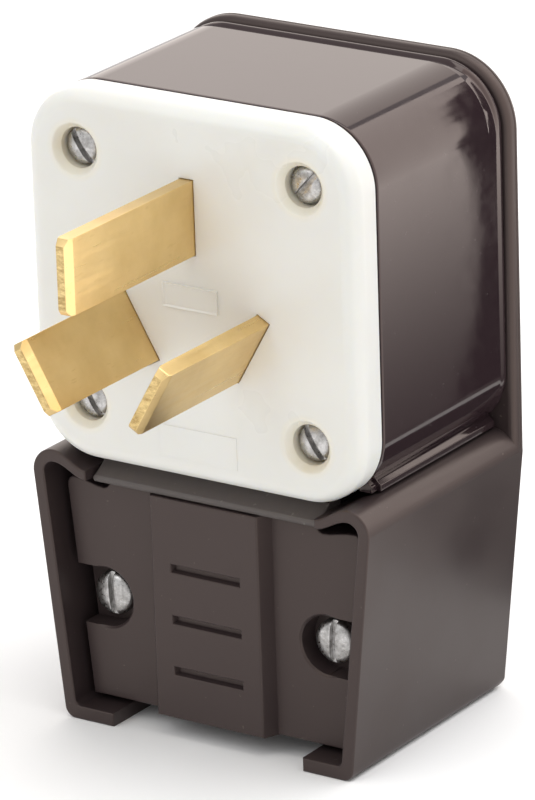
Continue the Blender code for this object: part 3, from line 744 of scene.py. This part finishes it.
# the bar's faces get the painted light of this second material
glossy_box.data.materials.append(bar_painted_light())
bar_top, bar_back = MIDDLE - HALF - 1.1 * MM, bar_front + 3.7 * MM
for face in glossy_box.data.polygons:
    if face.center.z < bar_top and face.center.y < bar_back:
        face.material_index = 1

# %% [markdown]
# ## The satin shell
#
# Seen from the front the shell is a bracket: a floor in two halves, side walls that lean outwards
# as they rise, and shoulders that roll over and curl in towards the neck.  One closed outline of
# that section, extruded to the back, makes each half.  The bevel on its front loop gives the thin
# line of light along the wall's edge.

# %% Section of one half
SKIRT = 2.2 * MM
SHOULDER_TOP = HALF - 0.6 * MM
SHOULDER_R = 4.2 * MM
CURL_END = 22.55 * MM
CURL_DROP = HALF + 2.05 * MM
CURL_THICK = 1.75 * MM
LEAN_IN = 4.4 * MM
FOOT_HALF = RIM_HALF - LEAN_IN
FOOT_ROUND = 2.0 * MM
CORD_HALF = 18.9 * MM
FLOOR_THICK = 2.4 * MM


def shoulder(inset, drop):
    """From the side wall up, over the shoulder and down to the curl's end."""
    radius, steps = SHOULDER_R - inset, 12
    crest = RIM_HALF - SHOULDER_R
    top = -SHOULDER_TOP - inset
    curve = arc(crest, top - radius, radius, 0, 90)
    for i in range(1, steps + 1):
        share = i / steps
        fall = (-drop - top) * (1 - math.cos(math.pi * share)) / 2
        curve.append((crest - (crest - CURL_END) * share, top + fall))
    return curve


def half_section():
    heel_round, floor_top = 1.0 * MM, FLOOR + FLOOR_THICK
    outer = arc(FOOT_HALF - FOOT_ROUND, FLOOR + FOOT_ROUND, FOOT_ROUND, -90, 0, 8) + shoulder(0, CURL_DROP)
    inner = list(reversed(shoulder(SKIRT, CURL_DROP + CURL_THICK)))
    heel = arc(FOOT_HALF - SKIRT - heel_round, floor_top + heel_round, heel_round, 0, -90, 5)
    return [(CORD_HALF, FLOOR)] + outer + inner + heel + [(CORD_HALF, floor_top)]


back_inside = BACK - 2.7 * MM
section = half_section()
print("points in the shell's section", len(section))


def shell_half(side):
    wall_end = BACK - 0.02 * MM
    shape = prism([(side * x, z) for x, z in section], 0, wall_end)
    softened(shape, lambda p: p.y < TOUCH, 0.35 * MM)
    return softened(shape, lambda p: p.y > wall_end - TOUCH, 0.3 * MM, 2)


# %% [markdown]
# The back is a plate whose upper part carries the rim: it starts level with the box, swells in a
# round band and ends in a thin parting line.  The plate and the two halves become one solid, whose
# lower back edge we round with a cutter.

# %% Back plate and rim
def back_ring(grow, depth):
    """Outline of the whole back.  Only the rim above the shoulders grows: the rest hides in the walls."""
    hidden = 0.3 * MM
    bend = CORNER + 1.2 * MM + grow
    shoulder_foot = -SHOULDER_TOP - SHOULDER_R
    right = arc(FOOT_HALF - hidden - FOOT_ROUND, FLOOR + hidden + FOOT_ROUND, FOOT_ROUND, -90, 0, 8)
    right.append((RIM_HALF - hidden, shoulder_foot))
    right.append((RIM_HALF + grow, shoulder_foot + 0.05 * MM))
    right += arc(RIM_HALF + grow - bend, HALF + 0.5 * MM + grow - bend, bend, 0, 90, 20)
    return mirrored(right), depth


rim_front = ((-1.3, 0), (-0.75, 0.12), (-0.35, 0.40), (-0.1, 0.8), (0, 1.2))
rim_back = ((0, 0.95), (-0.12, 0.85), (-0.12, 0.75), (0, 0.65), (0, 0.35), (-0.12, 0.1), (-0.4, 0))
rim_rings = [back_ring(grow * MM, back_inside + depth * MM) for grow, depth in rim_front]
rim_rings += [back_ring(grow * MM, BACK - depth * MM) for grow, depth in rim_back]
satin_housing = as_object("satin_housing", lofted(rim_rings))
combined(satin_housing, [shell_half(-1), shell_half(1)], "UNION")
back_bend = 2.8 * MM
corner_cut = arc(BACK - back_bend, FLOOR + back_bend, back_bend, 0, -90, 10)
corner_cut += [(BACK - back_bend, FLOOR - MM), (BACK + MM, FLOOR - MM), (BACK + MM, FLOOR + back_bend)]
combined(satin_housing, [prism_across(corner_cut, RIM_HALF + MM)])

# %% [markdown]
# The floor's two halves meet behind the cord's way, whose far corners are round.  We fill that
# corner of the floor, then add the bosses that hold the clamp's nuts and the posts for the brass
# inserts.

# %% Floor, bosses and posts
def cord_way():
    bend = 8.0 * MM
    right = [(CORD_HALF, -MM)] + arc(CORD_HALF - bend, back_inside - bend, bend, 0, 90, 10)
    cutter = prism([(x, -y) for x, y in mirrored(right)], 0, FLOOR_THICK + 2 * MM)
    bmesh.ops.rotate(cutter, verts=cutter.verts, cent=(0, 0, 0), matrix=Matrix.Rotation(math.pi / 2, 3, "X"))
    return moved(cutter, 0, 0, FLOOR - MM)


bury = back_inside + 0.5 * MM
bore_end = back_inside - 0.5 * MM
floor_back = block((-CORD_HALF - MM, CORD_HALF + MM), (back_inside - 9 * MM, bury),
                   (FLOOR, FLOOR + FLOOR_THICK))
clamp_at, clamp_z = centre_of("clamp_screw_right")
nut_start, nut_end = depths_of("clamp_nut_right")
nut_half, clamp_screw_hole = 4.4 * MM, 2.58 * MM
boss_start = nut_start - 3.4 * MM
bosses, pockets = [floor_back], [cord_way()]
for side in (-1, 1):
    x = side * clamp_at
    span = sorted((x - side * (nut_half + 0.4 * MM), side * (RIM_HALF - 3.3 * MM)))
    tall = nut_half + SKIRT
    boss = block(span, (boss_start, bury), (clamp_z - tall, clamp_z + tall))
    bosses.append(softened(boss, lambda p: p.y < boss_start + TOUCH, 0.4 * MM, 2))
    flat = nut_half + GAP
    room = sorted((x - side * 2 * nut_half, x + side * flat))
    pockets.append(block(room, (nut_start - GAP, nut_end + GAP), (clamp_z - flat, clamp_z + flat)))
    pockets.append(moved(drill(clamp_screw_hole, 0, bore_end), x, boss_start - MM, clamp_z))
post_start, post_radius, insert_hole = back_inside - 6.4 * MM, 4.3 * MM, 3.2 * MM
post = [(0, post_start), (post_radius - 0.2 * MM, post_start), (post_radius, post_start + 0.2 * MM),
        (post_radius, bury), (0, bury)]
for x, z in SCREW_CENTRES:
    bosses.append(moved(turned(post), x, 0, z))
    pockets.append(moved(drill(insert_hole, post_start - MM, bore_end), x, 0, z))
combined(satin_housing, bosses, "UNION")
combined(satin_housing, pockets)
settle(satin_housing, "housing", SATIN, ["rear_shell"])

# %% [markdown]
# ## The cord clamp
#
# The clamp slides on two screws and grips the cord against the shell's back.  Its front is a flat
# flange with a broad raised rib, whose right and left sides slope.  Three grip slots cross the rib,
# and a D-shaped pocket, open to the wall, lets each screw's head sink in.

# %% Flange, rib and saddle
clamp_start, clamp_end = depths_of("clamp_plate")
flange_front = 3.9 * MM
flange_back = flange_front + 6.0 * MM
beside_wall = 1.6 * MM
clamp_top, clamp_foot = clamp_high.z - MIDDLE, clamp_low.z - MIDDLE
under_curl = -CURL_DROP - 3.0 * MM


def clamp_half(height):
    """Half width at a height, with an even gap beside the leaning walls."""
    top = -SHOULDER_TOP - SHOULDER_R
    share = (top - height) / (top - FLOOR)
    return RIM_HALF - LEAN_IN * share - SKIRT - beside_wall


wide_top, wide_foot = clamp_half(under_curl - 2 * MM), clamp_half(clamp_foot)
flange_right = [(wide_foot, clamp_foot), (wide_top, under_curl - 2.0 * MM)]
flange_round = 1.4 * MM
flange_right += arc(wide_top - flange_round, under_curl - flange_round, flange_round, 10, 80, 5)
flange_dip = ((26.4, 0.1), (24.6, 0.45), (22.9, 0.85), (21.7, 0.95), (21.0, 0.7), (20.6, 0.2))
flange_right += [(x * MM, under_curl - dip * MM) for x, dip in flange_dip] + [(20.5 * MM, clamp_top)]
flange = prism(mirrored(flange_right), flange_front, flange_back)
softened(flange, lambda p: p.y < flange_front + TOUCH, 0.3 * MM)
satin_clamp = as_object("satin_clamp", flange)

rib_half, rib_slope, saddle_half = 10.5 * MM, 1.8 * MM, 12 * MM
rib_wide = rib_half + rib_slope
rib = block((-rib_wide, rib_wide), (clamp_start, flange_front + MM), (clamp_foot, clamp_top))
rib_front = [vert for vert in rib.verts if vert.co.y < clamp_start + TOUCH]
bmesh.ops.scale(rib, verts=rib_front, vec=(rib_half / rib_wide, 1, 1))
softened(rib, lambda p: p.y < clamp_start + TOUCH, 0.3 * MM)
saddle = block((-saddle_half, saddle_half), (flange_back - MM, clamp_end), (clamp_foot, clamp_top))
softened(saddle, lambda p: p.y > clamp_end - TOUCH, 1.2 * MM, 4)
combined(satin_clamp, [rib, saddle], "UNION")

# %% [markdown]
# Each slot's cutter is a block whose floor is smaller than its mouth.  That draft lets the part
# leave its mould, and it gives the slots their slanted ends.  A pocket is a turned cutter with a
# small chamfer at its mouth, and a block that opens it towards the wall.

# %% Slots and pockets
def grip_slot(height):
    half, tall, deep = 7.2 * MM, 2.1 * MM, 1.1 * MM
    floor_long, floor_tall = 0.90, 0.45
    cutter = block((-half, half), (clamp_start - MM, clamp_start + deep),
                   (height - tall / 2, height + tall / 2))
    floor = [vert for vert in cutter.verts if vert.co.y > clamp_start]
    middle = Matrix.Translation((0, 0, -height))
    bmesh.ops.scale(cutter, verts=floor, vec=(floor_long, 1, floor_tall), space=middle)
    return cutter


def screw_pocket(side):
    radius, floor, edge, hole = 5.2 * MM, flange_back - 2.0 * MM, 0.35 * MM, 2.38 * MM
    x = side * clamp_at
    profile = [(0, flange_front - MM), (radius + edge, flange_front - MM), (radius + edge, flange_front),
               (radius, flange_front + edge), (radius - 0.15 * MM, floor), (0, floor)]
    to_wall = sorted((x, side * RIM_HALF))
    mouth = block(to_wall, (flange_front - MM, floor), (clamp_z - radius, clamp_z + radius))
    bore = drill(hole, flange_front, clamp_end + MM)
    return [moved(turned(profile, sides=64), x, 0, clamp_z), mouth, moved(bore, x, 0, clamp_z)]


FIRST_SLOT, SLOT_STEP = clamp_top - 12.2 * MM, 9.1 * MM
cutters = [grip_slot(FIRST_SLOT - i * SLOT_STEP) for i in range(3)]
combined(satin_clamp, cutters + screw_pocket(-1) + screw_pocket(1))
plate = bmesh.new()
plate.from_mesh(satin_clamp.data)
mouths = [edge for edge in sharp_edges(plate, 40)
          if all(abs(vert.co.y - clamp_start) < TOUCH for vert in edge.verts)]
bevelled(plate, mouths, 0.18 * MM, 2)
plate.to_mesh(satin_clamp.data)
plate.free()
print("edges softened round the slots", len(mouths))
settle(satin_clamp, "clamp", SATIN, ["clamp_plate"])

# %% [markdown]
# ## Screws
#
# A screw is a turned head with a sawn slot, and a real helical thread.  The thread is a short
# zigzag spun round the axis while it climbs one pitch a turn, then trimmed flat at both ends.

# %% Thread
PITCH = 25.4 / 32 * MM


def threaded_shank(radius, start, end):
    root, sides = radius - 0.55 * PITCH, 20
    turns = math.ceil((end - start) / PITCH) + 2
    shape = bmesh.new()
    zigzag = [(root, 0), (root, 0.15 * PITCH), (radius, 0.45 * PITCH), (radius, 0.6 * PITCH),
              (root, 0.9 * PITCH), (root, PITCH)]
    points = [shape.verts.new((r, start - 1.5 * PITCH + y, 0)) for r, y in zigzag]
    edges = [shape.edges.new(pair) for pair in zip(points, points[1:])]
    bmesh.ops.spin(shape, geom=points + edges, axis=(0, 1, 0), cent=(0, 0, 0), dvec=(0, PITCH / sides, 0),
                   angle=math.tau * turns, steps=sides * turns, use_merge=False)
    bmesh.ops.remove_doubles(shape, verts=shape.verts, dist=2e-6)
    for at, outward in ((start, -1), (end, 1)):
        sliced(shape, at, outward, dist=1e-8, clear_outer=True)
        rim = [edge for edge in shape.edges if edge.is_boundary
               and all(abs(vert.co.y - at) < 1e-7 for vert in edge.verts)]
        bmesh.ops.holes_fill(shape, edges=rim, sides=0)
    return tidy(shape, 1e-7)


# %% [markdown]
# The head is a low dome.  Its slot is cut with a block, and the few sharp edges that are left get a
# tiny bevel, so that they glint like sawn metal.

# %% Slotted screw
DOME = ((0.45, 0.035), (0.74, 0.12), (0.90, 0.25), (0.975, 0.40), (1, 0.56))
SLOT_HALF, SLOT_DEEP = 0.52 * MM, 1.15 * MM


def screw_piece(name, head_high, slot_turn, tip, head_share):
    x, z = centre_of(name)
    start, end = depths_of(name)
    low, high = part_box(name)
    radius = (high.x - low.x) / 2 * head_share
    seat, under = start + head_high, 0.12 * head_high
    profile = [(0, start)] + [(radius * share, start + drop * head_high) for share, drop in DOME]
    profile += [(radius, seat - under), (radius - under, seat), (0, seat)]
    piece = as_object(f"{name}_zinc", turned(profile, sides=64))
    slot = block((-SLOT_HALF, SLOT_HALF), (start - MM, start + SLOT_DEEP), (-radius - MM, radius + MM))
    combined(piece, [slot])
    shape = bmesh.new()
    shape.from_mesh(piece.data)
    bmesh.ops.remove_doubles(shape, verts=shape.verts, dist=1e-7)
    rims = [edge for edge in sharp_edges(shape, 50) if edge.verts[0].co.y < seat - 0.3 * head_high]
    bevelled(shape, rims, 0.07 * MM, 2)
    bmesh.ops.rotate(shape, verts=shape.verts, cent=(0, 0, 0),
                     matrix=Matrix.Rotation(math.radians(slot_turn), 3, "Y"))
    shank = threaded_shank(tip, seat - 0.1 * MM, end)
    joined = bpy.data.meshes.new("shank")
    shank.to_mesh(joined)
    shank.free()
    shape.from_mesh(joined)
    bpy.data.meshes.remove(joined)
    moved(shape, x, 0, z)
    shape.to_mesh(piece.data)
    shape.free()
    settle(piece, name, ZINC, [name], sharp=35)


FACE_TURNS = {"upper_left": -35, "upper_right": 42, "lower_left": -30, "lower_right": -32}
for place, turn in FACE_TURNS.items():
    screw_piece(f"face_screw_{place}", 2.0 * MM, turn, 1.75 * MM, 0.94)
for place, turn in (("left", -4), ("right", 2)):
    screw_piece(f"clamp_screw_{place}", 2.4 * MM, turn, 2.08 * MM, 1)

# %% [markdown]
# ## Inside pieces
#
# These show only when the face is drawn off for wiring.  Their CAD shapes are right but razor
# sharp.  We copy each mesh, merge its loose triangles, join the flat ones again, and bevel every
# edge that turns by more than 35 degrees, so the stamped brass and the steel catch the light.

# %% Softened copies of CAD nodes
body_of = {name: body for body, names in frame["record"]["behaviour"]["bodies"].items() for name in names}


def finish_for(name):
    if name == "blade_insulator":
        return FIBRE
    if name.endswith("_lug") or name.startswith("threaded_insert"):
        return TERMINAL_BRASS
    return ZINC


def softened_copy(name, width):
    shape = bmesh.new()
    shape.from_mesh(frame["nodes"][name].data)
    bmesh.ops.remove_doubles(shape, verts=shape.verts, dist=2e-6)
    bmesh.ops.dissolve_limit(shape, angle_limit=math.radians(1), verts=shape.verts, edges=shape.edges)
    tidy(shape)
    bevelled(shape, sharp_edges(shape, 35), width, 2, clamp_overlap=True)
    piece = as_object(f"{name}_soft", moved(tidy(shape), 0, -FRONT, -MIDDLE))
    settle(piece, body_of[name], finish_for(name), [name])


for name in [name for name, part in frame["nodes"].items() if not part.hide_render]:
    if not name.startswith("threaded_insert"):
        softened_copy(name, 0.12 * MM)

# %% [markdown]
# The brass inserts are turned, with a knurled outside that bites into the plastic.  We draw one
# knurled ring as a gear outline, extrude it, and drill the threaded hole.

# %% Knurled inserts
def knurled_insert(name):
    x, z = centre_of(name)
    start, end = depths_of(name)
    low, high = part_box(name)
    radius, teeth, tooth_high = (high.x - low.x) / 2, 36, 0.16 * MM
    outline = []
    for tooth in range(teeth):
        for share, reach in ((0, 0), (0.35, 1), (0.5, 1), (0.85, 0)):
            turn = math.tau * (tooth + share) / teeth
            grown = radius - tooth_high * (1 - reach)
            outline.append((grown * math.cos(turn), grown * math.sin(turn)))
    piece = as_object(f"{name}_knurled", prism(outline, start, end))
    groove_wide, groove_floor = 0.6 * MM, radius - 0.4 * MM
    groove = turned([(groove_floor, 0), (radius + MM, 0), (radius + MM, groove_wide),
                     (groove_floor, groove_wide)], closed=True)
    mouth, hole = 2.2 * MM, 1.8 * MM
    bore = [(0, start - MM), (mouth, start - MM), (mouth, start), (hole, start + mouth - hole),
            (hole, end + MM), (0, end + MM)]
    combined(piece, [moved(groove, 0, (start + end - groove_wide) / 2, 0), turned(bore, sides=32)])
    piece.data.transform(Matrix.Translation((x, 0, z)))
    settle(piece, body_of[name], TERMINAL_BRASS, [name])


for name in [name for name in frame["nodes"] if name.startswith("threaded_insert")]:
    knurled_insert(name)

# %% [markdown]
# ## The table and the light
#
# A plain pale table, an even sky and three soft boxes: a warm one behind on the left, which the
# box's top mirrors, a small one in front for the white face, and one overhead.

# %% Table and sky
table_finish, table_shader = new_finish("pale_table", (0.96, 0.96, 0.96), 0.9)
table_shader.inputs["Specular IOR Level"].default_value = 0.1
table_shape = bmesh.new()
bmesh.ops.create_grid(table_shape, x_segments=4, y_segments=4, size=6.0)
table = as_object("pale_table", table_shape)
table.location = (0, 0, shell_low.z)
table.data.materials.append(table_finish)

world = bpy.data.worlds.new("studio")
bpy.context.scene.world = world
world.use_nodes = True
sky = world.node_tree.nodes["Background"]
sky.inputs["Color"].default_value = (1, 1, 1, 1)
sky.inputs["Strength"].default_value = 0.75


# %% Soft boxes
PLUG = Vector((0, 0.015, 0.07))


def soft_box(name, place, width, height, watts, colour=(1, 1, 1)):
    """Rectangular light that aims at the plug."""
    light = bpy.data.lights.new(name, "AREA")
    light.shape, light.size, light.size_y, light.energy = "RECTANGLE", width, height, watts
    light.color = colour
    lamp = in_scene(name, light)
    lamp.location = place
    lamp.rotation_euler = (PLUG - Vector(place)).to_track_quat("-Z", "Y").to_euler()
    lamp.visible_camera = False


soft_box("back_box", (-0.66, 0.95, 0.60), 1.3, 1.1, 5.0, (1.0, 0.87, 0.78))
soft_box("front_box", (-0.25, -0.6, 0.65), 0.6, 0.6, 1.4)
soft_box("top_box", (0.3, 0.2, 1.1), 1.0, 1.0, 8)
print("soft boxes", len(bpy.data.lights))

# %% [markdown]
# The camera stands to the right and above with a long lens, so that the sides stay nearly
# parallel.  Its axes are written out, because it leans a little to one side.

# %% Camera
camera_data = bpy.data.cameras.new("camera")
camera = in_scene("camera", camera_data)
across = Vector((0.83135, 0.55491, -0.03070))
upward = Vector((-0.16589, 0.30050, 0.93925))
towards = Vector((0.53042, -0.77574, 0.34187))
turn = Matrix((across, upward, towards)).transposed().to_4x4()
camera.matrix_world = Matrix.Translation((0.55939, -0.80228, 0.41328)) @ turn
camera_data.sensor_width = 36
camera_data.lens = 287.08
camera_data.shift_x = -0.0045
camera_data.shift_y = 0.0122
camera_data.clip_start, camera_data.clip_end = 0.05, 30
bpy.context.scene.camera = camera
bpy.context.scene.view_settings.view_transform = "Standard"

# %% [markdown]
# A polished wall shows what stands beside it, so a studio puts cards there.  They show only in
# reflections.  A bright card that fades downwards gives the box's side its grey sheen, and it is
# even near the front, where the blades' ends see it.

# %% Bright card
CARD_X = 0.092


def card_finish(name, strength):
    """Plain glow, and its node."""
    material = bpy.data.materials.new(name)
    material.use_nodes = True
    nodes = material.node_tree.nodes
    nodes.remove(nodes["Principled BSDF"])
    glow = node(material, "ShaderNodeEmission", Color=(1.0, 0.92, 0.88, 1), Strength=strength)
    link(material, glow.outputs[0], nodes["Material Output"].inputs["Surface"])
    return material, glow


def stand_card(name, points, material):
    shape = bmesh.new()
    shape.faces.new([shape.verts.new(point) for point in points])
    card = as_object(name, shape)
    card.data.materials.append(material)
    card.visible_camera = card.visible_diffuse = card.visible_shadow = card.visible_transmission = False


bright, bright_glow = card_finish("bright_card", 1)
parts = node(bright, "ShaderNodeSeparateXYZ")
link(bright, object_points(bright), parts.inputs[0])
climb = spread(bright, parts.outputs["Z"], 0.008, 0.066)
fading = spread(bright, times(bright, climb, climb), 0, 1, 0.22, 3.1)
strength = node(bright, "ShaderNodeMix", data_type="FLOAT")
link(bright, spread(bright, parts.outputs["Y"], 0.045, 0.085), strength.inputs[0])
strength.inputs[2].default_value = 2.0
link(bright, fading, strength.inputs[3])
link(bright, strength.outputs[0], bright_glow.inputs["Strength"])
bright_corners = ((-0.06, 0.001), (0.9, 0.001), (0.9, 0.85), (-0.06, 0.85))
stand_card("bright_card", [(CARD_X, y, z) for y, z in bright_corners], bright)

# %% [markdown]
# A black card stands 2 mm in front of the bright one and gives the side its dark end near the rim.
# Its near edge is an S drawn in millimetres, as (y, z), so the dark end swings out and back along
# the wall.  A second black card lies on the table for the box's lower corner: a painted shadow, seen
# only in reflections, for the shade on the table beside the plug.

# %% Black cards
DARK_EDGE = ((113, 14), (113.6, 22), (117.2, 26.6), (120.5, 34), (121.9, 44.8), (121.3, 55.6),
             (118.6, 62), (111, 72), (106.6, 83.7), (107, 105), (109.9, 125.3), (121, 145),
             (146, 171), (210, 225), (333, 323))
DARK_X = CARD_X - 0.002
near_side = [Vector((DARK_X, y * MM, z * MM)) for y, z in DARK_EDGE]
far_side = [point + Vector((0, 0.045 if point.z < 0.075 else 0.028, 0)) for point in reversed(near_side)]
dark = card_finish("dark_card", 0.04)[0]
stand_card("dark_card", near_side + far_side, dark)
# painted shadow: a black card just above the table, seen only in reflections, stands for the plug's shade on
# the table
low_corners, above_table = ((40, 66), (78, 66), (78, 135), (40, 135)), shell_low.z + 1.5 * MM
stand_card("table_shadow_card", [(x * MM, y * MM, above_table) for x, y in low_corners], dark)
print("cards stand", round((CARD_X - HALF) / MM), "mm from the box's side")
